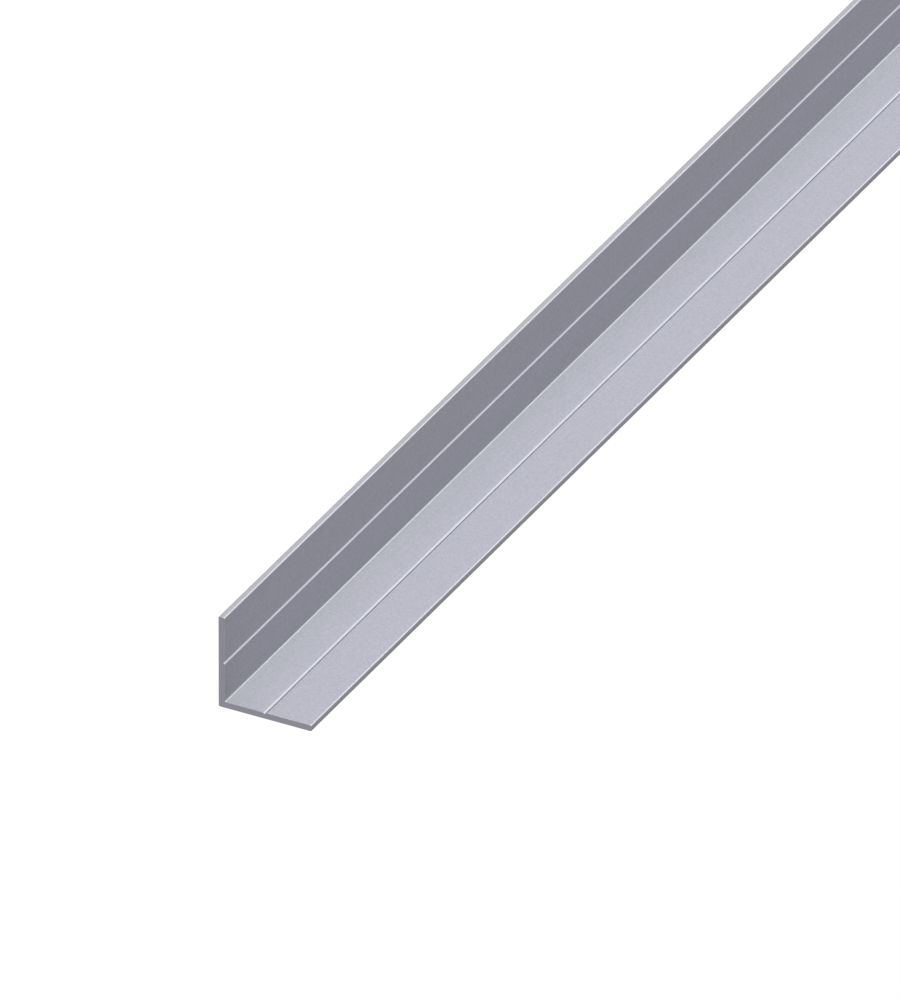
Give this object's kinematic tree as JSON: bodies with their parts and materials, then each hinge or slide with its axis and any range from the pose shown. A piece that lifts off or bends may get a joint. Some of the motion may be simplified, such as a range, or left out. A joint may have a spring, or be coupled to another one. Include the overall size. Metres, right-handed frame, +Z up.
{
  "type": "metal angle section",
  "caption": "Equal-leg L-section of extruded aluminium with a fine centre groove along the inside of each leg, for edging, framing, bracing and joining panels.",
  "frame": {"origin": "underside of the flat leg, at the middle of the width and of the length", "axes": "+Y along the length, away from the end that shows; +X across the flat leg, from the heel to its free edge; +Z up, along the standing leg"},
  "size_m": [0.03, 1, 0.03],
  "materials": {
    "satin_aluminium": "satin silver anodised, with fine lines along the length from the die, and plain sawn ends"
  },
  "bodies": {
    "root": {"angle_section": "satin_aluminium"}
  },
  "joints": []
}
